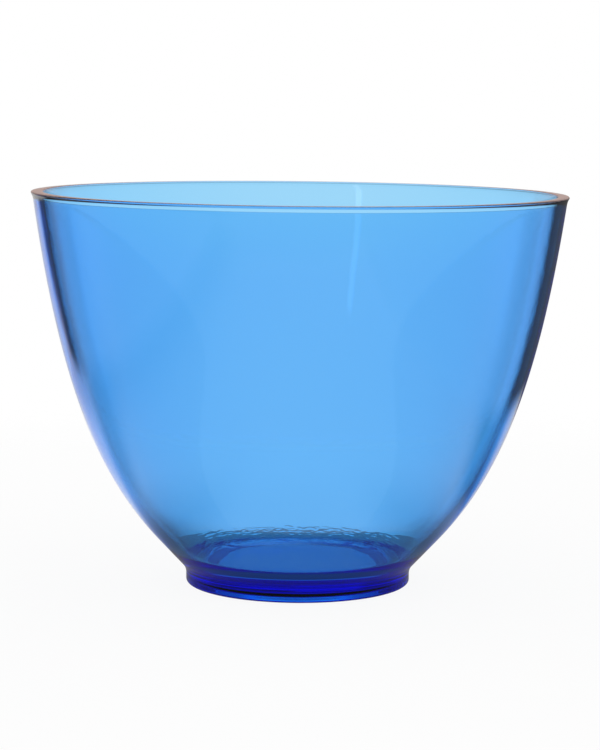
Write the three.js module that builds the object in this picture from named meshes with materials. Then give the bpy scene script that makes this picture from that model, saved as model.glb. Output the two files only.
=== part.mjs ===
// A flexible mixing bowl, moulded in one piece from a clear blue rubbery plastic.
// Units are millimetres and degrees, +Z is up, and the origin is the centre of the foot's resting face.

import * as THREE from "three";

// Rim: a flat top land between two rounded edges. The wall's outer face flares out just under it.
const RIM_DIAMETER = 130.5;
const HEIGHT = 96;
const RIM_THICKNESS = 2.5;
const RIM_EDGE_RADIUS = 0.3;
const RIM_LEAN = 8;
const RIM_FLARE_LEAN = 33;
const RIM_FLARE_HEIGHT = 2.2;

// Wall: one smooth curve from the rim to the neck, where it leans most and is a little thinner.
// A pull is how far the curve follows its lean at that end before it bends away.
const RIM_PULL = 43;
const NECK_RADIUS = 35.1;
const NECK_HEIGHT = 11.8;
const NECK_LEAN = 43;
const NECK_PULL = 22;
const NECK_THICKNESS = 2.3;

// Foot: a short upright ring under the neck, with a flat face to stand on.
const FOOT_DIAMETER = 55.2;
const FOOT_RING_WIDTH = 6.2;
const FOOT_EDGE_RADIUS = 0.8;
const FOOT_FILLET_RADIUS = 4;

// Floor: flat inside the bowl. Underneath it has a shallow recess, inside the ring that the bowl stands on.
const FLOOR_THICKNESS = 5.7;
const FLOOR_CORNER_RADIUS = 12;
const RECESS_DEPTH = 0.5;

// Finish: clear sky blue with a smooth gloss.
const CLEAR_BLUE = 0x64b4fa;
const GLOSS_ROUGHNESS = 0.08;

// Faces: steps along each kind of outline stretch, and around the axis.
const WALL_STEPS = 14;
const CORNER_STEPS = 3;
const FILLET_STEPS = 5;
const TURN_STEPS = 72;
const SAME_POINT = 1e-6;

const point = (radius, height) => new THREE.Vector2(radius, height);
const rimLean = THREE.MathUtils.degToRad(RIM_LEAN);
const flareLean = THREE.MathUtils.degToRad(RIM_FLARE_LEAN);
const neckLean = THREE.MathUtils.degToRad(NECK_LEAN);

// The direction down a wall that leans out by an angle, and the way from its outer face to its inner one.
const downWall = (lean) => point(-Math.sin(lean), -Math.cos(lean));
const throughWall = (lean) => point(-Math.cos(lean), Math.sin(lean));

// A round stretch of the outline, between two angles from the outward direction, in radians.
function arc(centre, radius, from, to, steps) {
  const clockwise = to < from;
  return new THREE.EllipseCurve(centre.x, centre.y, radius, radius, from, to, clockwise).getPoints(steps);
}

// A smooth stretch of wall from one point to another, leaving and arriving along the leans there.
function wall(top, topPull, bottom, bottomPull) {
  const leaves = downWall(rimLean).multiplyScalar(topPull).add(top);
  const arrives = downWall(neckLean).multiplyScalar(-bottomPull).add(bottom);
  return new THREE.CubicBezierCurve(top, leaves, arrives, bottom).getPoints(WALL_STEPS);
}

// Underside: the shallow recess, then the ring that the bowl stands on and its rounded outer edge.
function underside() {
  const footRadius = FOOT_DIAMETER / 2;
  const ringInside = footRadius - FOOT_RING_WIDTH;
  const outerEdge = point(footRadius - FOOT_EDGE_RADIUS, FOOT_EDGE_RADIUS);
  return [
    point(0, RECESS_DEPTH),
    point(ringInside, RECESS_DEPTH),
    point(ringInside, 0),
    ...arc(outerEdge, FOOT_EDGE_RADIUS, -Math.PI / 2, 0, CORNER_STEPS),
  ];
}

// Outside: the hollow fillet from the upright foot to the leaning neck, then the wall up to the rim.
function outside(rim) {
  const neck = point(NECK_RADIUS, NECK_HEIGHT);
  const filletX = FOOT_DIAMETER / 2 + FOOT_FILLET_RADIUS;
  const filletTop = filletX - FOOT_FILLET_RADIUS * Math.cos(neckLean);
  const filletTopHeight = NECK_HEIGHT - (NECK_RADIUS - filletTop) / Math.tan(neckLean);
  const centre = point(filletX, filletTopHeight - FOOT_FILLET_RADIUS * Math.sin(neckLean));
  const fillet = arc(centre, FOOT_FILLET_RADIUS, Math.PI, Math.PI - neckLean, FILLET_STEPS);
  return [...fillet, ...wall(rim.outerEnd, RIM_PULL, neck, NECK_PULL).reverse()];
}

// Rim: the flare, the outer edge, the land and the inner edge, and where they leave the wall's two faces.
function rimOutline() {
  const slack = (1 + Math.sin(flareLean) - Math.cos(flareLean)) / Math.cos(flareLean);
  const sharpRadius = RIM_DIAMETER / 2 + RIM_EDGE_RADIUS * slack;
  const halfFlare = RIM_FLARE_HEIGHT / 2;
  const bend = point(sharpRadius - halfFlare * Math.tan(flareLean), HEIGHT - halfFlare);
  const outerEnd = downWall(rimLean).multiplyScalar(halfFlare / Math.cos(rimLean)).add(bend);
  const outer = point(RIM_DIAMETER / 2 - RIM_EDGE_RADIUS, HEIGHT - RIM_EDGE_RADIUS);
  const outerEdge = arc(outer, RIM_EDGE_RADIUS, -flareLean, Math.PI / 2, CORNER_STEPS);
  const flare = new THREE.QuadraticBezierCurve(outerEnd, bend, outerEdge[0]);
  const wallInside = bend.x + halfFlare * Math.tan(rimLean) - RIM_THICKNESS / Math.cos(rimLean);
  const toInner = (RIM_EDGE_RADIUS * (1 - Math.sin(rimLean))) / Math.cos(rimLean);
  const inner = point(wallInside + toInner, HEIGHT - RIM_EDGE_RADIUS);
  const innerEdge = arc(inner, RIM_EDGE_RADIUS, Math.PI / 2, Math.PI - rimLean, CORNER_STEPS);
  const over = [...flare.getPoints(CORNER_STEPS), ...outerEdge, ...innerEdge];
  return { over, outerEnd, innerEnd: innerEdge[CORNER_STEPS] };
}

// Inside: the wall down to the neck, then a rounded corner into the flat floor.
function inside(rim) {
  const outerNeck = point(NECK_RADIUS, NECK_HEIGHT);
  const neck = throughWall(neckLean).multiplyScalar(NECK_THICKNESS).add(outerNeck);
  const shorter = rim.innerEnd.distanceTo(neck) / rim.outerEnd.distanceTo(outerNeck);
  const floorTop = RECESS_DEPTH + FLOOR_THICKNESS;
  const cornerRadius = neck.x - (neck.y - floorTop) * Math.tan(neckLean);
  const reach = FLOOR_CORNER_RADIUS * Math.tan((Math.PI / 2 - neckLean) / 2);
  const centre = point(cornerRadius - reach, floorTop + FLOOR_CORNER_RADIUS);
  return [
    ...wall(rim.innerEnd, RIM_PULL * shorter, neck, NECK_PULL * shorter),
    ...arc(centre, FLOOR_CORNER_RADIUS, -neckLean, -Math.PI / 2, FILLET_STEPS),
    point(0, floorTop),
  ];
}

// The whole outline in order, from the axis under the floor to the axis on top of it, without repeated points.
function outline() {
  const rim = rimOutline();
  const all = [...underside(), ...outside(rim), ...rim.over, ...inside(rim)];
  return all.filter((p, i) => i === 0 || p.distanceTo(all[i - 1]) > SAME_POINT);
}

function mixingBowl() {
  const turned = new THREE.LatheGeometry(outline(), TURN_STEPS).rotateX(Math.PI / 2);
  const finish = new THREE.MeshStandardMaterial({ color: CLEAR_BLUE, roughness: GLOSS_ROUGHNESS, metalness: 0 });
  const mesh = new THREE.Mesh(turned, finish);
  mesh.name = "mixing_bowl";
  return mesh;
}

const part = new THREE.Group();
part.add(mixingBowl());

export default part;
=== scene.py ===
# %% [markdown]
# A clear blue mixing bowl
#
# The bowl is one soft moulding. Its rim, wall, floor and foot run into each other with no seam, and the
# rubber is clear, so what we see is mostly what light does inside it. That makes three jobs: turn the
# exact shape, with the true thickness everywhere, give it a rubber that soaks up red light first, and
# set it in a plain studio that a clear thing can show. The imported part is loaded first, and its box is
# kept, because the dressed bowl has to stay the same size.

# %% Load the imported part
import math

import bpy
import numpy as np
from mathutils import Matrix, Vector, noise


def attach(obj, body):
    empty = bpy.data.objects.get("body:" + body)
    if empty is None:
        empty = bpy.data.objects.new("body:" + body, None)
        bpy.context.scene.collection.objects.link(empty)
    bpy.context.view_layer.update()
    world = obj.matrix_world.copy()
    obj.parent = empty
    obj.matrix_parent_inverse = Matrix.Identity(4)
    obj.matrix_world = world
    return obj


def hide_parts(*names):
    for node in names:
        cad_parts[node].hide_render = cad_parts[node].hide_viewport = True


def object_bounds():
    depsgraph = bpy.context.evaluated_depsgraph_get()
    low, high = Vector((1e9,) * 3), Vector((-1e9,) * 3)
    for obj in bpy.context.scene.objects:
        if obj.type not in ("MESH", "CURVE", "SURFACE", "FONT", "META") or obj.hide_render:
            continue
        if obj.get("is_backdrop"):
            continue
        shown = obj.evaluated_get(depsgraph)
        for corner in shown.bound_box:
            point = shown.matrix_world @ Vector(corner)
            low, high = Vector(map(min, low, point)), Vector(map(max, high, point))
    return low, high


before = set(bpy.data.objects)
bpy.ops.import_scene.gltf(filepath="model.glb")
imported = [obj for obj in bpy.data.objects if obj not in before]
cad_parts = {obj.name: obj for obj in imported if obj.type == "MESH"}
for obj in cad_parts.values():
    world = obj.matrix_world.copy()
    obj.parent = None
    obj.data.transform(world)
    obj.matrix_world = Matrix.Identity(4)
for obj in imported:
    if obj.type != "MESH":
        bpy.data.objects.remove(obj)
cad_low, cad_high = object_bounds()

MM = 0.001
print("box in mm", [round(v / MM, 2) for v in cad_high - cad_low])

# %% [markdown]
# Sizes of the bowl
#
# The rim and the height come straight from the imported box, so this mesh can't drift away from the
# solid. The other sizes are the ones that drive the solid, in millimetres. A lean is how far the wall
# tips outwards from upright, and a pull is how far the wall's curve follows its lean at that end before
# it bends away.

# %% Sizes of the bowl
RIM_RADIUS = (cad_high.x - cad_low.x) / 2 / MM
HEIGHT = cad_high.z / MM
RIM_THICKNESS = 2.5
RIM_EDGE_RADIUS = 0.3
RIM_LEAN = math.radians(8)
RIM_PULL = 43
RIM_FLARE_LEAN = math.radians(33)
RIM_FLARE_HEIGHT = 2.2
NECK_RADIUS = 35.1
NECK_HEIGHT = 11.8
NECK_LEAN = math.radians(43)
NECK_PULL = 22
NECK_THICKNESS = 2.3
FOOT_RADIUS = 27.6
FOOT_RING_WIDTH = 6.2
FOOT_EDGE_RADIUS = 0.8
FOOT_FILLET_RADIUS = 4
FLOOR_THICKNESS = 5.7
FLOOR_CORNER_RADIUS = 12
RECESS_DEPTH = 0.5
FLOOR_TOP = RECESS_DEPTH + FLOOR_THICKNESS
print(f"rim {2 * RIM_RADIUS:.1f} mm across, {HEIGHT:.1f} mm high, floor {FLOOR_TOP:.1f} mm up")

# %% [markdown]
# Two ways to draw a stretch of outline
#
# A turned bowl is known by half of its section, drawn from the axis under the floor, round the rim, to
# the axis on top of the floor. Most of it is round edges and smooth runs of wall, so there is a helper
# for each, and two more give the way down a leaning wall and the way through it. Drawing the section
# point by point is better here than bevelling a rough shape, because clear rubber bends light by its
# exact thickness and shows each flat spot.

# %% Helpers for the outline
QUARTER = math.pi / 2


def arc(centre, radius, start, end, steps):
    """Points round a centre, between two angles from the outward direction."""
    angles = np.linspace(start, end, steps + 1)
    return np.column_stack([centre[0] + radius * np.cos(angles), centre[1] + radius * np.sin(angles)])


def down_wall(lean):
    """The direction down a wall that leans out by an angle."""
    return np.array([-math.sin(lean), -math.cos(lean)])


def through_wall(lean):
    """The way from the outer face of a leaning wall to its inner face."""
    return np.array([-math.cos(lean), math.sin(lean)])


def wall_run(top, top_pull, bottom, bottom_pull, steps):
    """A smooth run of wall that leaves the rim and reaches the neck along the leans there."""
    leaves = top + down_wall(RIM_LEAN) * top_pull
    arrives = bottom - down_wall(NECK_LEAN) * bottom_pull
    t = np.linspace(0, 1, steps + 1)[:, None]
    s = 1 - t
    return s**3 * top + 3 * s * s * t * leaves + 3 * s * t * t * arrives + t**3 * bottom


print("the way down the wall at the rim, out and up:", down_wall(RIM_LEAN).round(3))

# %% [markdown]
# The rim
#
# The wall ends in a flat land between two small rounded edges, and the outer face flares out over the
# last two millimetres. Seen from low down, the land mirrors whatever is behind the bowl, and draws the
# brownish line round the mouth. The flare is a weak prism. It lifts the view over the far rim, which
# shows as the pale band just under the near one.

# %% Draw the rim
EDGE_STEPS = 6
FLARE_STEPS = 10

edge_lean_sin = math.sin(RIM_FLARE_LEAN)
edge_lean_cos = math.cos(RIM_FLARE_LEAN)
sharp_radius = RIM_RADIUS + RIM_EDGE_RADIUS * (1 + edge_lean_sin - edge_lean_cos) / edge_lean_cos
outer_edge = (RIM_RADIUS - RIM_EDGE_RADIUS, HEIGHT - RIM_EDGE_RADIUS)
outer_round = arc(outer_edge, RIM_EDGE_RADIUS, -RIM_FLARE_LEAN, QUARTER, EDGE_STEPS)

half_flare = RIM_FLARE_HEIGHT / 2
flare_bend = np.array([sharp_radius - half_flare * math.tan(RIM_FLARE_LEAN), HEIGHT - half_flare])
outer_top = flare_bend + down_wall(RIM_LEAN) * half_flare / math.cos(RIM_LEAN)
t = np.linspace(0, 1, FLARE_STEPS + 1)[:, None]
flare = (1 - t) ** 2 * outer_top + 2 * t * (1 - t) * flare_bend + t * t * outer_round[0]

wall_inside = flare_bend[0] + half_flare * math.tan(RIM_LEAN) - RIM_THICKNESS / math.cos(RIM_LEAN)
to_inner_edge = RIM_EDGE_RADIUS * (1 - math.sin(RIM_LEAN)) / math.cos(RIM_LEAN)
inner_edge = (wall_inside + to_inner_edge, HEIGHT - RIM_EDGE_RADIUS)
inner_round = arc(inner_edge, RIM_EDGE_RADIUS, QUARTER, 2 * QUARTER - RIM_LEAN, EDGE_STEPS)
inner_top = inner_round[-1]
over_rim = np.vstack([flare, outer_round, inner_round])
print(f"flat land {outer_edge[0] - inner_edge[0]:.2f} mm wide on a {RIM_THICKNESS} mm wall")

# %% [markdown]
# The wall, inside and outside
#
# The outer and the inner face are two runs of the same kind. The inner one is drawn from the outer
# one's ends, moved in by the thickness there, so the wall thins evenly from the rim to the neck. To
# measure it half way down, the outer face is drawn once more with many points, because the nearest of a
# few lies too far along and would make the wall seem thicker.

# %% Draw the wall
WALL_STEPS = 36
MEASURING_STEPS = 4000

neck = np.array([NECK_RADIUS, NECK_HEIGHT])
inner_neck = neck + through_wall(NECK_LEAN) * NECK_THICKNESS
shorter = np.linalg.norm(inner_top - inner_neck) / np.linalg.norm(outer_top - neck)
outer_wall = wall_run(outer_top, RIM_PULL, neck, NECK_PULL, WALL_STEPS)
inner_wall = wall_run(inner_top, RIM_PULL * shorter, inner_neck, NECK_PULL * shorter, WALL_STEPS)
half_way = inner_wall[WALL_STEPS // 2]
fine_wall = wall_run(outer_top, RIM_PULL, neck, NECK_PULL, MEASURING_STEPS)
print(f"wall {np.linalg.norm(fine_wall - half_way, axis=1).min():.2f} mm thick half way down")

# %% [markdown]
# The foot and the floor
#
# Under the neck a hollow fillet turns the wall upright into the foot ring. Inside, a wide round corner
# carries the wall into the flat floor, so the rubber is several times thicker there than in the wall.
# That solid ring is what makes the foot deep blue. Underneath there is a shallow recess, so the bowl
# stands on a flat ring. Its edge is upright, because a sloped one would act as a mirror and throw dark
# blobs on the floor.

# %% Draw the foot and the floor
FILLET_STEPS = 12
CORNER_STEPS = 64

fillet_x = FOOT_RADIUS + FOOT_FILLET_RADIUS
fillet_top_x = fillet_x - FOOT_FILLET_RADIUS * math.cos(NECK_LEAN)
fillet_top_z = NECK_HEIGHT - (NECK_RADIUS - fillet_top_x) / math.tan(NECK_LEAN)
fillet_centre = (fillet_x, fillet_top_z - FOOT_FILLET_RADIUS * math.sin(NECK_LEAN))
foot_fillet = arc(fillet_centre, FOOT_FILLET_RADIUS, 2 * QUARTER, 2 * QUARTER - NECK_LEAN, FILLET_STEPS)

sharp_corner = inner_neck[0] - (inner_neck[1] - FLOOR_TOP) * math.tan(NECK_LEAN)
corner_reach = FLOOR_CORNER_RADIUS * math.tan((QUARTER - NECK_LEAN) / 2)
corner_centre = (sharp_corner - corner_reach, FLOOR_TOP + FLOOR_CORNER_RADIUS)
floor_corner = arc(corner_centre, FLOOR_CORNER_RADIUS, -NECK_LEAN, -QUARTER, CORNER_STEPS)

ring_inside = FOOT_RADIUS - FOOT_RING_WIDTH
recess = [[0, RECESS_DEPTH], [ring_inside, RECESS_DEPTH], [ring_inside, 0]]
ring_edge = (FOOT_RADIUS - FOOT_EDGE_RADIUS, FOOT_EDGE_RADIUS)
underside = np.vstack([recess, arc(ring_edge, FOOT_EDGE_RADIUS, -QUARTER, 0, EDGE_STEPS)])
print(f"flat floor {2 * corner_centre[0]:.1f} mm across, standing ring {FOOT_RING_WIDTH} mm wide")

# %% [markdown]
# One outline, with no long steps
#
# The stretches are joined in order. Two stretches that meet share a point, which is dropped, and a long
# straight step is cut into short ones, so that the turned faces stay near square and can be rippled
# later.

# %% Join the outline
LONGEST_STEP = 2.4
SAME_POINT = 1e-6


def without_repeats(points):
    """The points without those that repeat the one before."""
    apart = np.linalg.norm(np.diff(points, axis=0), axis=1) > SAME_POINT
    return points[np.concatenate([[True], apart])]


def in_short_steps(points, longest):
    """The same outline with no step longer than a length."""
    stretches = [points[:1]]
    for here, there in zip(points[:-1], points[1:]):
        cuts = max(1, math.ceil(np.linalg.norm(there - here) / longest))
        share = np.linspace(0, 1, cuts + 1)[1:, None]
        stretches.append(here + (there - here) * share)
    return np.vstack(stretches)


outside = [underside, foot_fillet, outer_wall[::-1], over_rim]
inside = [inner_wall, floor_corner, [[0, FLOOR_TOP]]]
joined = np.vstack(outside + inside)
outline = in_short_steps(without_repeats(joined), LONGEST_STEP)
rim_row = int(np.argmax(outline[:, 1]))
print(len(outline), "points in the outline, the rim at point", rim_row)

# %% [markdown]
# The ripples inside
#
# Round the floor's corner the photographed bowl has short, flat ripples, like a skin of water in a
# wind, where the soft rubber let go of the mould. They are real dents, and through clear rubber each
# one throws a bright or dark dash. A bump in the material would leave the mesh smooth, so the points
# themselves move, along the outline's own normal, by a noise that is long round the bowl and short up
# the wall. The ripples show on the far side, seen through the near wall, so they fade out towards the
# front.

# %% Where the ripples are, and how deep
RIPPLE_DEPTH = 0.2
RIPPLE_LONG = 1.8
RIPPLE_SHORT = 0.55
RIPPLE_DRIFT = 8.0
RIPPLE_BAND = (20.5, 22.5, 27.8, 28.8)
RIPPLE_TOP = NECK_HEIGHT + 2
RIPPLE_SIDE = (0.1, 0.5)
FINER = 1.9
FINER_SHARE = 0.6


def rise_and_fall(value, edges):
    """0 outside a band, 1 in its middle, with straight slopes at both ends."""
    start, full, ending, end = edges
    return float(np.clip(min((value - start) / (full - start), (end - value) / (end - ending)), 0, 1))


def ripple(radius, angle, along):
    """Height of the ripples at a place on the inside, from about -1 to 1."""
    place = Vector((
        radius * math.cos(angle) / RIPPLE_LONG,
        radius * math.sin(angle) / RIPPLE_DRIFT,
        along / RIPPLE_SHORT,
    ))
    return noise.noise(place) + FINER_SHARE * noise.noise(place * FINER)


print("ripples from", RIPPLE_BAND[0], "to", RIPPLE_BAND[3], "mm out from the axis")

# %% [markdown]
# The wall's slow waves
#
# No moulded wall is perfectly even. A very slow wave, about a hundredth of a millimetre deep and longer
# up the wall than round it, moves the light behind the bowl a little, which keeps the big clear wall
# from looking like ruled glass. The two faces read the noise at different places, so they don't wave
# together.

# %% How deep the slow waves are
WAVE_DEPTH = 0.012
WAVE_ROUND = 9.0
WAVE_UP = 45.0
WAVE_BAND = (34.0, 40.0, 62.0, 64.5)
INSIDE_FACE = 7.3
OUTSIDE_FACE = 1.7


def slow_wave(radius, angle, height, face):
    """Height of the slow wave at a place on one face of the wall."""
    place = Vector((
        radius * math.cos(angle) / WAVE_ROUND,
        radius * math.sin(angle) / WAVE_ROUND,
        height / WAVE_UP + face,
    ))
    return noise.noise(place)


print(f"wall waves {WAVE_DEPTH} mm deep")

# %% [markdown]
# Which way each ring moves
#
# The outline will be spun round the axis, one ring of points for each point of the outline. Ripples and
# waves push a ring along the outline's normal there, which is the direction square to the line between
# the points before and after it.

# %% Measure the rings
TURNS = 415

rings = outline[1:-1]
tangents = outline[2:] - outline[:-2]
normals = np.column_stack([tangents[:, 1], -tangents[:, 0]])
normals /= np.linalg.norm(normals, axis=1)[:, None]
lengths = np.linalg.norm(np.diff(outline, axis=0), axis=1)
travelled = np.cumsum(lengths)[:-1]
angles = np.linspace(0, 2 * math.pi, TURNS, endpoint=False)


def on_inside(row):
    """Whether a ring lies past the rim. Ring 0 is the outline's point 1."""
    return row + 1 > rim_row


def push_out(row):
    """How far each point of a ring moves along the normal, in millimetres."""
    radius, height = rings[row]
    can_ripple = on_inside(row) and height < RIPPLE_TOP
    rippled = RIPPLE_DEPTH * rise_and_fall(radius, RIPPLE_BAND) if can_ripple else 0
    far_side = np.clip((np.sin(angles) - RIPPLE_SIDE[0]) / (RIPPLE_SIDE[1] - RIPPLE_SIDE[0]), 0, 1)
    waved = WAVE_DEPTH * rise_and_fall(radius, WAVE_BAND)
    face = INSIDE_FACE if on_inside(row) else OUTSIDE_FACE
    push = np.zeros(TURNS)
    if rippled:
        push += rippled * far_side * [ripple(radius, a, travelled[row]) for a in angles]
    if waved:
        push += [waved * slow_wave(radius, a, height, face) for a in angles]
    return push


print(f"the outline is {travelled[-1]:.0f} mm long")

# %% [markdown]
# Turn the outline
#
# Now the rings are placed. Two small faults of a real soft bowl go in here: the rim tips a little to
# one side, more the higher we go, and the inside sits a tenth of a millimetre off centre at the rim, as
# the core of the mould did. Both ends of the outline lie on the axis and become one point each.

# %% Turn the outline
RIM_SAG = 0.29
CORE_SHIFT = 0.1

points = np.empty((len(rings), TURNS, 3))
for row, (radius, height) in enumerate(rings):
    push = push_out(row)
    reach = radius + push * normals[row, 0]
    shift = CORE_SHIFT * height / HEIGHT if on_inside(row) else 0
    points[row, :, 0] = reach * np.cos(angles) + shift
    points[row, :, 1] = reach * np.sin(angles)
    sag = RIM_SAG * (height / HEIGHT) ** 2
    points[row, :, 2] = height + push * normals[row, 1] - sag * reach * np.cos(angles) / RIM_RADIUS
print(points.shape[0], "rings of", TURNS, "points")

# %% [markdown]
# Make the mesh
#
# Four points of two neighbouring rings make a face, and each point on the axis closes its end with a
# fan of triangles. Blender's Screw modifier could turn the outline too, but only as a perfect round,
# with no ripples. The bowl then replaces the plain solid and rides on the same body.

# %% Make the mesh
here = np.arange(TURNS)
there = (here + 1) % TURNS
faces = []
for row in range(len(rings) - 1):
    low = row * TURNS
    high = low + TURNS
    faces += np.column_stack([low + here, low + there, high + there, high + here]).tolist()
under_point = len(rings) * TURNS
floor_point = under_point + 1
last = (len(rings) - 1) * TURNS
faces += [(under_point, int(b), int(a)) for a, b in zip(here, there)]
faces += [(floor_point, last + int(a), last + int(b)) for a, b in zip(here, there)]

on_axis = [[0, 0, outline[0, 1]], [0, 0, outline[-1, 1]]]
vertices = np.vstack([points.reshape(-1, 3), on_axis]) * MM
mesh = bpy.data.meshes.new("clear_bowl")
mesh.from_pydata(vertices.tolist(), [], faces)
mesh.polygons.foreach_set("use_smooth", [True] * len(mesh.polygons))
mesh.validate()
mesh.update()
bowl = bpy.data.objects.new("clear_bowl", mesh)
bpy.context.scene.collection.objects.link(bowl)
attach(bowl, "root")
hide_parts("mixing_bowl")
print(len(mesh.polygons), "faces in the bowl")

# %% [markdown]
# A small kit for node trees
#
# The rubber, the table and the room are all node trees. These helpers add one node, set or link its
# inputs, and return its output, so that each tree below reads as a list of steps. A Mix node has
# sockets for every kind of value, so the last two helpers pick theirs by number.

# %% Helpers for node trees
WHITE = (1, 1, 1, 1)


def feed(tree, socket, value):
    """Sets an input, or links it when the value is another node's output."""
    if isinstance(value, bpy.types.NodeSocket):
        tree.links.new(value, socket)
    else:
        socket.default_value = value


def math_node(tree, operation, *values):
    """One Math node."""
    node = tree.nodes.new("ShaderNodeMath")
    node.operation = operation
    for socket, value in zip(node.inputs, values):
        feed(tree, socket, value)
    return node.outputs[0]


def ramp(tree, value, start, end, first=0.0, last=1.0):
    """A soft step from one number to another as a value goes from start to end."""
    node = tree.nodes.new("ShaderNodeMapRange")
    node.interpolation_type = "SMOOTHSTEP"
    for socket, number in zip(node.inputs, (value, start, end, first, last)):
        feed(tree, socket, number)
    return node.outputs[0]


def mix_numbers(tree, factor, first, second):
    """One number or another, by a factor."""
    node = tree.nodes.new("ShaderNodeMix")
    for socket, value in zip((node.inputs[0], node.inputs[2], node.inputs[3]), (factor, first, second)):
        feed(tree, socket, value)
    return node.outputs[0]


def mix_colours(tree, factor, first, second):
    """One colour or another, by a factor."""
    node = tree.nodes.new("ShaderNodeMix")
    node.data_type = "RGBA"
    for socket, value in zip((node.inputs[0], node.inputs[6], node.inputs[7]), (factor, first, second)):
        feed(tree, socket, value)
    return node.outputs[2]


print("five helpers for node trees")

# %% [markdown]
# Clear blue rubber
#
# The rubber has no colour on its surface. Its colour is inside: it soaks up red quickly, green slowly
# and blue hardly at all, so a thin wall is sky blue and the thick foot is navy. A blue surface colour
# would paint the wall and the foot alike. So the surface is colourless, lets light through and bends
# it, and the volume inside absorbs. The colour and the density are set on the shader itself.

# %% Clear blue rubber
RUBBER_BENDS_LIGHT = 1.5
RUBBER_TINT = (0.009, 0.68, 0.981, 1)
RUBBER_DENSITY = 458

rubber = bpy.data.materials.new("clear_blue_rubber")
rubber.use_nodes = True
tree = rubber.node_tree
surface = tree.nodes["Principled BSDF"]
surface.inputs["Base Color"].default_value = WHITE
surface.inputs["Transmission Weight"].default_value = 1
surface.inputs["IOR"].default_value = RUBBER_BENDS_LIGHT

soak = tree.nodes.new("ShaderNodeVolumeAbsorption")
soak.inputs["Color"].default_value = RUBBER_TINT
soak.inputs["Density"].default_value = RUBBER_DENSITY
tree.links.new(soak.outputs["Volume"], tree.nodes["Material Output"].inputs["Volume"])
mesh.materials.append(rubber)
kept = [math.exp(-RUBBER_DENSITY * (1 - c) * NECK_THICKNESS * MM) for c in RUBBER_TINT[:3]]
print("light left after one wall", [round(v, 2) for v in kept])

# %% [markdown]
# The rubber's skin
#
# A moulded skin isn't quite even. A broad noise moves the roughness a little, as a faint bloom on
# rubber does, and a finer noise bends the normals by a trace. Both read the object's own coordinates,
# so they stay on the bowl wherever it is put.

# %% The rubber's skin
BLOOM_SCALE = 70
BLOOM_RANGE = (0.35, 0.7)
BLOOM_ROUGHNESS = (0.0, 0.006)
SKIN_SCALE = 160
SKIN_STRENGTH = 0.04
SKIN_DEPTH = 0.0004

place = tree.nodes.new("ShaderNodeTexCoord").outputs["Object"]


def noise_at(scale):
    """A noise over the bowl, from its own coordinates."""
    node = tree.nodes.new("ShaderNodeTexNoise")
    node.inputs["Scale"].default_value = scale
    tree.links.new(place, node.inputs["Vector"])
    return node.outputs["Fac"]


bloom = ramp(tree, noise_at(BLOOM_SCALE), *BLOOM_RANGE, *BLOOM_ROUGHNESS)
tree.links.new(bloom, surface.inputs["Roughness"])
skin_bump = tree.nodes.new("ShaderNodeBump")
skin_bump.inputs["Strength"].default_value = SKIN_STRENGTH
skin_bump.inputs["Distance"].default_value = SKIN_DEPTH
tree.links.new(noise_at(SKIN_SCALE), skin_bump.inputs["Height"])
tree.links.new(skin_bump.outputs["Normal"], surface.inputs["Normal"])
print("roughness from", BLOOM_ROUGHNESS[0], "to", BLOOM_ROUGHNESS[1])

# %% [markdown]
# A table to stand on
#
# The bowl stands on a plain white table, which is a flat disc a hair under the foot. If the two faces
# touched, a ray couldn't tell which it meets first. With the gap it leaves the rubber before it meets
# the table.

# %% Make the table
TABLE_RADIUS = 0.43
TABLE_CORNERS = 96
TABLE_GAP = 0.00015

bpy.ops.mesh.primitive_circle_add(
    vertices=TABLE_CORNERS,
    radius=TABLE_RADIUS,
    fill_type="NGON",
    location=(0, 0, -TABLE_GAP),
)
table = bpy.context.object
table.name = "white_table"
table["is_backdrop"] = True
print("table", 2 * TABLE_RADIUS, "m across")

# %% [markdown]
# Places on the table
#
# What the table shows depends on where a ray lands, so its tree first measures that spot: how far it is
# across, along and from the bowl's axis, and its bearing, which is 0 straight behind the bowl and grows
# to the right. The Light Path node tells what kind of ray has come.

# %% Places on the table
AXIS = (0, 0, 0)

table_white = bpy.data.materials.new("white_table")
table_white.use_nodes = True
tree = table_white.node_tree
tree.nodes.clear()
ray = tree.nodes.new("ShaderNodeLightPath").outputs
spot = tree.nodes.new("ShaderNodeNewGeometry").outputs["Position"]
spot_parts = tree.nodes.new("ShaderNodeSeparateXYZ")
tree.links.new(spot, spot_parts.inputs[0])
across, along, _ = spot_parts.outputs
bearing = math_node(tree, "ARCTAN2", across, along)


def distance_from(centre):
    """How far the spot is from a place on the table."""
    node = tree.nodes.new("ShaderNodeVectorMath")
    node.operation = "DISTANCE"
    node.inputs[1].default_value = centre
    tree.links.new(spot, node.inputs[0])
    return node.outputs["Value"]


def angle_step(value, edges, first=0.0, last=1.0):
    """A soft step between two angles, given in degrees."""
    return ramp(tree, value, math.radians(edges[0]), math.radians(edges[1]), first, last)


distance = distance_from(AXIS)
print(len(tree.nodes), "nodes to measure a spot on the table")

# %% [markdown]
# The bowl's painted shadow, seen through the bowl
#
# Through the clear wall we look down onto the table behind and under the bowl, where the bowl shades
# it. Under the floor it is more than half lit. Round that is the foot's shadow, darker in front and at
# the sides. It ends sharply at the back, which draws the line over the floor that the ripples break up,
# and softly at the sides. Further out the table is still a touch darker, out to a quarter metre. Tracing
# these shadows through rubber would take far too many samples, so they are painted on the table as steps,
# which only rays through or mirrored by the rubber see.

# %% Shade the table under the bowl
UNDER_FLOOR = 0.66
FLOOR_MIDDLE = (0, 0.0045, 0)
FLOOR_EDGE = (0.022, 0.0255)
IN_SHADOW = (0.14, 0.31)
SHADOW_FRONT_TO_BACK = (-0.02, 0.015)
SHADOW_EDGE = (0.0437, 0.0452)
SHADOW_SIDES = (0.02, 0.045)
AT_SHADOW_SIDES = 0.15
SIDE_SHADOW_EDGE = (0.036, 0.08)
AROUND_REACH = (0.045, 0.24)
AROUND = (0.92, 1.0)

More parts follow.
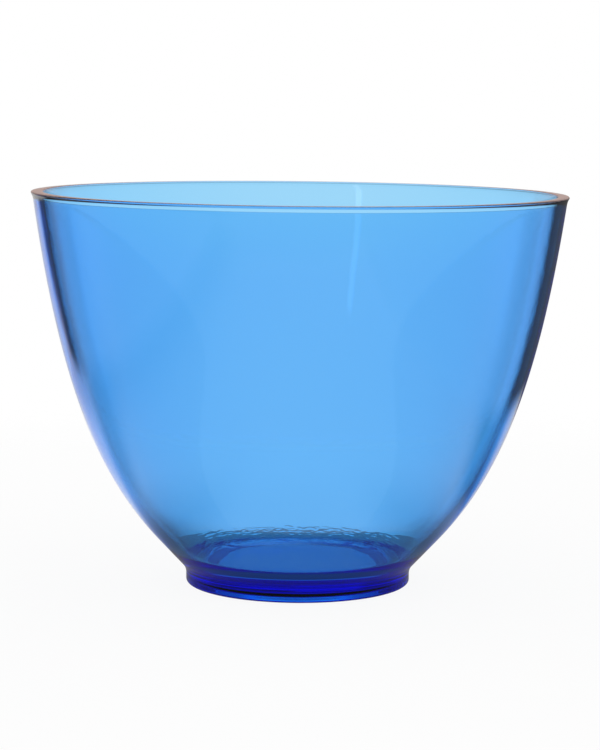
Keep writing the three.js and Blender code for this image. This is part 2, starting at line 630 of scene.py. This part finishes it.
at_side = ramp(tree, math_node(tree, "ABSOLUTE", across), *SHADOW_SIDES)
shadow_glow = ramp(tree, along, *SHADOW_FRONT_TO_BACK, *IN_SHADOW)
shadow_glow = mix_numbers(tree, at_side, shadow_glow, AT_SHADOW_SIDES)
off_floor = ramp(tree, distance_from(FLOOR_MIDDLE), *FLOOR_EDGE)
glow = mix_numbers(tree, off_floor, UNDER_FLOOR, shadow_glow)
back_edge = ramp(tree, distance, *SHADOW_EDGE)
side_edge = ramp(tree, distance, *SIDE_SHADOW_EDGE)
out_of_shadow = mix_numbers(tree, at_side, back_edge, side_edge)
# Painted shade: past the shadow the table is still a touch darker near the bowl.
around_glow = ramp(tree, distance, *AROUND_REACH, *AROUND)
glow = mix_numbers(tree, out_of_shadow, glow, around_glow)
print("shadow from", SHADOW_EDGE[0] / MM, "mm out at the back")

# %% [markdown]
# Painted shade on the sides of the table
#
# A clear wall on a plain white table has no edge. So shade is painted on the table, darker to the right
# and a little to the left, and only rays through the rubber or mirrored by it see it. The wall's edges
# bend and mirror light far enough round to find this painted shade, and draw their dark lines from it.
# Light that comes through the rubber and light that its surface mirrors come from different places, so
# each kind has its own edges. Straight behind and in front the table stays white.

# %% Darken the sides of the table
DARK_RIGHT_THROUGH = (48, 58)
RIGHT_THROUGH = 0.35
DARK_RIGHT_ENDS = (100, 130)
DARK_RIGHT_MIRRORED = (42, 56)
RIGHT_MIRRORED = 0.1
RIGHT_STARTS = (0.0, 0.04)
BACK_MIRRORED = 0.7
DARK_LEFT_MIRRORED = (-72, -56)
LEFT_MIRRORED = 0.35
MIRRORED_ENDS = (78, 98)
LEFT_DIMMING = (-0.16, -0.10)
DIM_LEFT = 0.8

# Painted shade: these steps darken the table by bearing, one set for rays through the rubber and one for
# mirrored rays.
through_side = angle_step(bearing, DARK_RIGHT_THROUGH, 1.0, RIGHT_THROUGH)
mirrored_left = angle_step(bearing, DARK_LEFT_MIRRORED, LEFT_MIRRORED, 1.0)
mirrored_back = mix_numbers(tree, ramp(tree, across, *RIGHT_STARTS), mirrored_left, BACK_MIRRORED)
to_right = angle_step(bearing, DARK_RIGHT_MIRRORED)
mirrored_side = mix_numbers(tree, to_right, mirrored_back, RIGHT_MIRRORED)
past_sides = angle_step(math_node(tree, "ABSOLUTE", bearing), MIRRORED_ENDS)
mirrored_side = mix_numbers(tree, past_sides, mirrored_side, 1.0)
side = mix_numbers(tree, ray["Is Transmission Ray"], mirrored_side, through_side)
side = mix_numbers(tree, angle_step(bearing, DARK_RIGHT_ENDS), side, 1.0)
# Painted shade: the left of the table a little darker, and the side shade laid on outside the bowl's
# painted shadow.
glow = math_node(tree, "MULTIPLY", glow, ramp(tree, across, *LEFT_DIMMING, DIM_LEFT, 1.0))
glow = math_node(tree, "MULTIPLY", glow, mix_numbers(tree, out_of_shadow, 1.0, side))
print("dark to the right from", DARK_RIGHT_THROUGH[0], "degrees through the rubber")

# %% [markdown]
# The table's white
#
# To the camera the table is nearly all plain white, with a share of real shading, which keeps the
# bowl's shadow. To rays through the rubber it is a touch cool, and mirrored from the left it is a touch
# warm, as the photograph's edges are.

# %% Colour the table
TABLE_WHITE = (0.95, 0.95, 0.95, 1)
TABLE_PLAIN_SHARE = 0.92
COOL_THROUGH = (0.94, 0.94, 1, 1)
WARM_LEFT = (0.76, 0.69, 0.62, 1)
LEFT_WARMTH = (-0.16, -0.06)

not_mirrored = math_node(tree, "MAXIMUM", ray["Is Transmission Ray"], ray["Is Camera Ray"])
only_mirrored = math_node(tree, "SUBTRACT", 1.0, not_mirrored)
warmth = math_node(tree, "MULTIPLY", only_mirrored, ramp(tree, across, *LEFT_WARMTH, 1.0, 0.0))
cool = mix_colours(tree, ray["Is Transmission Ray"], WHITE, COOL_THROUGH)
plain = tree.nodes.new("ShaderNodeEmission")
tree.links.new(mix_colours(tree, warmth, cool, WARM_LEFT), plain.inputs["Color"])
tree.links.new(mix_numbers(tree, ray["Is Camera Ray"], glow, 1.0), plain.inputs["Strength"])
shaded = tree.nodes.new("ShaderNodeBsdfDiffuse")
shaded.inputs["Color"].default_value = TABLE_WHITE

by_bowl = math_node(tree, "MAXIMUM", ray["Is Transmission Ray"], ray["Is Glossy Ray"])
seen_plain = math_node(tree, "MULTIPLY", ray["Is Camera Ray"], TABLE_PLAIN_SHARE)
lit_table = tree.nodes.new("ShaderNodeMixShader")
tree.links.new(math_node(tree, "MAXIMUM", by_bowl, seen_plain), lit_table.inputs[0])
tree.links.new(shaded.outputs[0], lit_table.inputs[1])
tree.links.new(plain.outputs[0], lit_table.inputs[2])
print("the camera sees", TABLE_PLAIN_SHARE, "of plain white")

# %% [markdown]
# Where the table ends
#
# A table edge would show as a line behind the bowl. To the camera the table fades away into the white
# of the room, well outside the bowl's shadow. For rays by way of the bowl it is a smaller sheet with
# soft edges, past which they meet the room.

# %% Fade the table out
FADE_SEEN = (0.2, 0.34)
SHEET_LEFT = (-0.20, -0.15)
SHEET_RIGHT = (0.11, 0.15)
SHEET_FRONT = (-0.30, -0.25)
SHEET_BACK = (0.20, 0.24)

off_right = ramp(tree, across, *SHEET_RIGHT)
off_left = ramp(tree, across, *SHEET_LEFT, 1.0, 0.0)
off_back = ramp(tree, along, *SHEET_BACK)
off_front = ramp(tree, along, *SHEET_FRONT, 1.0, 0.0)
off_sides = math_node(tree, "MAXIMUM", off_right, off_left)
off_ends = math_node(tree, "MAXIMUM", off_back, off_front)
off_sheet = math_node(tree, "MAXIMUM", off_sides, off_ends)
faded = mix_numbers(tree, ray["Is Camera Ray"], off_sheet, ramp(tree, distance, *FADE_SEEN))
faded_table = tree.nodes.new("ShaderNodeMixShader")
tree.links.new(faded, faded_table.inputs[0])
tree.links.new(lit_table.outputs[0], faded_table.inputs[1])
tree.links.new(tree.nodes.new("ShaderNodeBsdfTransparent").outputs[0], faded_table.inputs[2])
table_end = tree.nodes.new("ShaderNodeOutputMaterial")
tree.links.new(faded_table.outputs[0], table_end.inputs["Surface"])
table.data.materials.append(table_white)
print("table seen white out to", FADE_SEEN[0], "m")

# %% [markdown]
# Directions in the room
#
# Clear things are drawn by what stands behind them. A plain white room gives them no edge at all, so a
# photographer puts two dark cards behind, to the left and the right, and leaves white between them. A
# room of real boxes would do, but a background that knows the ray's direction is easier to tune. It
# needs two angles: the turn from straight behind, which grows to the right, and the climb over the
# horizon.

# %% Directions in the room
room = bpy.data.worlds.new("studio")
bpy.context.scene.world = room
room.use_nodes = True
tree = room.node_tree
ray = tree.nodes.new("ShaderNodeLightPath").outputs
direction = tree.nodes.new("ShaderNodeSeparateXYZ")
tree.links.new(tree.nodes.new("ShaderNodeTexCoord").outputs["Generated"], direction.inputs[0])
toward_right, toward_back, toward_top = direction.outputs
turn = math_node(tree, "ARCTAN2", toward_right, toward_back)
climb = math_node(tree, "ARCSINE", toward_top)
turn_left = math_node(tree, "MULTIPLY", turn, -1.0)
turn_away = math_node(tree, "ABSOLUTE", turn)


def between(value, edges):
    """1 between two angles, with soft edges, given in degrees."""
    rise = angle_step(value, edges[:2])
    fall = angle_step(value, edges[2:], 1.0, 0.0)
    return math_node(tree, "MULTIPLY", rise, fall)


print(len(tree.nodes), "nodes to measure a direction in the room")

# %% [markdown]
# What the rubber lets through
#
# Rays through the rubber meet a low white backdrop between two dark cards, a dim warm room over it and
# light overhead. The right card leans, so that its edge is nearer at the top. At the bowl's right edge
# a ray turns back inside the wall before it leaves, so it has been mirrored once. Such rays meet one
# more card, close to straight behind, and that makes the bowl's right outline dark while the wall
# beside it stays bright.

# %% Backdrop and dark cards
LOW_WHITE = (0.94, 0.93, 1, 1)
LOW_WHITE_TOP = (-5, -3)
CARD_DARK = (0.1, 0.1, 0.1, 1)
ROOM_DIM = (0.42, 0.36, 0.36, 1)
BACKDROP_TOP = (5, 12)
CEILING_LIGHT = (40, 60)
RIGHT_CARD_TOP = (12, 25, 34, 42)
RIGHT_CARD_FOOT = (20, 28, 34, 42)
RIGHT_CARD_LEANS = (-9, -4)
LEFT_CARD = (20, 28, 42, 50)
EDGE_CARD = (-2, 4, 24, 32)

low_down = angle_step(climb, BACKDROP_TOP, 1.0, 0.0)
overhead = angle_step(climb, CEILING_LIGHT)
dim_room = mix_colours(tree, low_down, ROOM_DIM, CARD_DARK)

card_height = angle_step(climb, RIGHT_CARD_LEANS)
right_foot = between(turn, RIGHT_CARD_FOOT)
right_card = mix_numbers(tree, card_height, right_foot, between(turn, RIGHT_CARD_TOP))
cards = math_node(tree, "MAXIMUM", right_card, between(turn_left, LEFT_CARD))
mirrored_inside = math_node(tree, "MINIMUM", ray["Glossy Depth"], 1.0)
edge_card = math_node(tree, "MULTIPLY", mirrored_inside, between(turn, EDGE_CARD))
cards = math_node(tree, "MAXIMUM", cards, edge_card)
backdrop = math_node(tree, "MULTIPLY", math_node(tree, "SUBTRACT", 1.0, cards), low_down)
room_white = mix_colours(tree, angle_step(climb, LOW_WHITE_TOP), LOW_WHITE, WHITE)
lit_room = math_node(tree, "MAXIMUM", backdrop, overhead)
seen_through = mix_colours(tree, lit_room, dim_room, room_white)
print("white between", -LEFT_CARD[0], "and", RIGHT_CARD_FOOT[0], "degrees low down")

# %% [markdown]
# What the rubber mirrors
#
# A shiny skin at a flat angle mirrors a lot, so the bowl's outline is drawn by mirrored light too.
# Mirrored rays meet wider cards behind, with a white strip between them that leans on its left side,
# and a bright studio to the sides and in front. Over the horizon the room is a dim, warm brown, which
# is the brown of the rim.

# %% Mirrored room
ROOM_WARM = (0.62, 0.46, 0.42, 1)
MIRROR_TOP = (-0.5, 2)
MIRROR_RIGHT = (4, 12)
MIRROR_LEFT_TOP = (24, 32)
MIRROR_LEFT_FOOT = (29, 36)
MIRROR_LEFT_LEANS = (-13, -8)
MIRROR_BACK_WHITE = 0.68
MIRROR_SIDE = (38, 50)
MIRROR_SIDE_WHITE = 0.35
MIRROR_FRONT = (46, 82)
MIRROR_FRONT_WHITE = 0.85

mirror_low = angle_step(climb, MIRROR_TOP, 1.0, 0.0)
warm_room = mix_colours(tree, mirror_low, ROOM_WARM, CARD_DARK)
strip_right = angle_step(turn, MIRROR_RIGHT, MIRROR_BACK_WHITE, 0.0)
strip_foot = angle_step(turn_left, MIRROR_LEFT_FOOT, 1.0, 0.0)
strip_top = angle_step(turn_left, MIRROR_LEFT_TOP, 1.0, 0.0)
strip_left = mix_numbers(tree, angle_step(climb, MIRROR_LEFT_LEANS), strip_foot, strip_top)
strip = math_node(tree, "MULTIPLY", strip_right, strip_left)
mirror_back = math_node(tree, "MULTIPLY", strip, mirror_low)
mirror_side = angle_step(turn_away, MIRROR_SIDE, 0.0, MIRROR_SIDE_WHITE)
mirror_front = angle_step(turn_away, MIRROR_FRONT, 0.0, MIRROR_FRONT_WHITE)
mirror_white = overhead
for white_part in (mirror_back, mirror_side, mirror_front):
    mirror_white = math_node(tree, "MAXIMUM", mirror_white, white_part)
mirrored = mix_colours(tree, mirror_white, warm_room, WHITE)
print("mirrored white behind, from", -MIRROR_LEFT_TOP[0], "to", MIRROR_RIGHT[0], "degrees")

# %% [markdown]
# One room for each kind of ray
#
# Camera rays see plain white, at strength 1. Rays that the bowl mirrors or lets through see the
# pictures of the room above. All other rays are light on the table, which comes softly from high up.

# %% Put the room together
LIGHT_CLIMB = (5, 60)
LIGHT_LOW = 0.3
LIGHT_HIGH = 1.1

colour = mix_colours(tree, ray["Is Glossy Ray"], WHITE, mirrored)
colour = mix_colours(tree, ray["Is Transmission Ray"], colour, seen_through)
colour = mix_colours(tree, ray["Is Camera Ray"], colour, WHITE)
strength = angle_step(climb, LIGHT_CLIMB, LIGHT_LOW, LIGHT_HIGH)
for kind in ("Is Glossy Ray", "Is Transmission Ray", "Is Camera Ray"):
    strength = mix_numbers(tree, ray[kind], strength, 1.0)
backing = tree.nodes["Background"]
tree.links.new(colour, backing.inputs["Color"])
tree.links.new(strength, backing.inputs["Strength"])
print(len(tree.nodes), "nodes in the room")

# %% [markdown]
# A small lamp
#
# The far wall carries one pale upright streak. It is a small lamp, mirrored in the inside of the wall:
# the wall leans back, so it mirrors a place in front, over the camera and to the left. The lamp is a
# small glowing panel that stands there. It is too small and too far to change the light on the bowl.

# %% Set up the lamp
LAMP_SPOT = Vector((-0.433, -0.8, 0.362))
LAMP_AIM = Vector((0.015, 0.058, 0.08))
LAMP_WIDTH = 0.045
LAMP_HEIGHT = 0.13
LAMP_TILT = math.radians(16)
LAMP_GLOW = 2.0

bpy.ops.mesh.primitive_plane_add(size=1)
lamp_panel = bpy.context.object
lamp_panel.name = "lamp_panel"
lamp_faces = (LAMP_AIM - LAMP_SPOT).to_track_quat("Z", "Y").to_matrix().to_4x4()
lamp_shape = Matrix.Rotation(LAMP_TILT, 4, "Z") @ Matrix.Diagonal((LAMP_WIDTH, LAMP_HEIGHT, 1, 1))
lamp_panel.matrix_world = Matrix.Translation(LAMP_SPOT) @ lamp_faces @ lamp_shape
lamp_panel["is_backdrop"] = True

lamp_light = bpy.data.materials.new("lamp_light")
lamp_light.use_nodes = True
tree = lamp_light.node_tree
tree.nodes.clear()
lit_panel = tree.nodes.new("ShaderNodeEmission")
lit_panel.inputs["Strength"].default_value = LAMP_GLOW
lamp_end = tree.nodes.new("ShaderNodeOutputMaterial")
tree.links.new(lit_panel.outputs[0], lamp_end.inputs["Surface"])
lamp_panel.data.materials.append(lamp_light)
print(f"lamp {LAMP_WIDTH / MM:.0f} by {LAMP_HEIGHT / MM:.0f} mm")
print(f"{(LAMP_AIM - LAMP_SPOT).length:.2f} m from the wall that mirrors it")

# %% [markdown]
# The camera
#
# The camera looks slightly down into the bowl from a little over its rim, from 0.6 m away, which is
# what fits both the rim's flat ellipse and the rounder foot. It is rolled by under a degree, as the
# photograph is. The picture is taller than wide, so the sensor's width stands for its height.

# %% Set the camera
SENSOR_WIDTH = 36
PICTURE_HEIGHT = 750
FOCAL_PIXELS = 2440.6
CAMERA_AWAY = 0.5952
CAMERA_UP = 0.1241
CAMERA_PITCH = math.radians(6.98)
CAMERA_ROLL = math.radians(0.40)
MIDDLE_OFFSET = -1.1

camera_data = bpy.data.cameras.new("camera")
camera_data.sensor_width = SENSOR_WIDTH
camera_data.lens = FOCAL_PIXELS / PICTURE_HEIGHT * SENSOR_WIDTH
camera_data.shift_x = -MIDDLE_OFFSET / PICTURE_HEIGHT
camera = bpy.data.objects.new("camera", camera_data)
bpy.context.scene.collection.objects.link(camera)
stand = Matrix.Translation((0, -CAMERA_AWAY, CAMERA_UP))
tilt = Matrix.Rotation(QUARTER - CAMERA_PITCH, 4, "X")
camera.matrix_world = stand @ tilt @ Matrix.Rotation(CAMERA_ROLL, 4, "Z")
bpy.context.scene.camera = camera
print(f"lens {camera_data.lens:.1f} mm on a {SENSOR_WIDTH} mm sensor")

# %% [markdown]
# Enough bounces for clear rubber
#
# Light inside the foot runs to and fro between its faces before it finds a way out. With too few
# bounces those paths stop in the dark, so the scene allows more. Colours are shown as they are, with
# the Standard view.

# %% Bounces and view
ALL_BOUNCES = 32
MIRROR_BOUNCES = 24

scene = bpy.context.scene
scene.view_settings.view_transform = "Standard"
scene.cycles.max_bounces = ALL_BOUNCES
scene.cycles.glossy_bounces = MIRROR_BOUNCES
scene.cycles.transmission_bounces = ALL_BOUNCES
print("bounces", scene.cycles.max_bounces)

# %% Check the size and finish
low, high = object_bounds()
print("bigger than the packed box by mm", [round(v / MM, 3) for v in (high - low) - (cad_high - cad_low)])
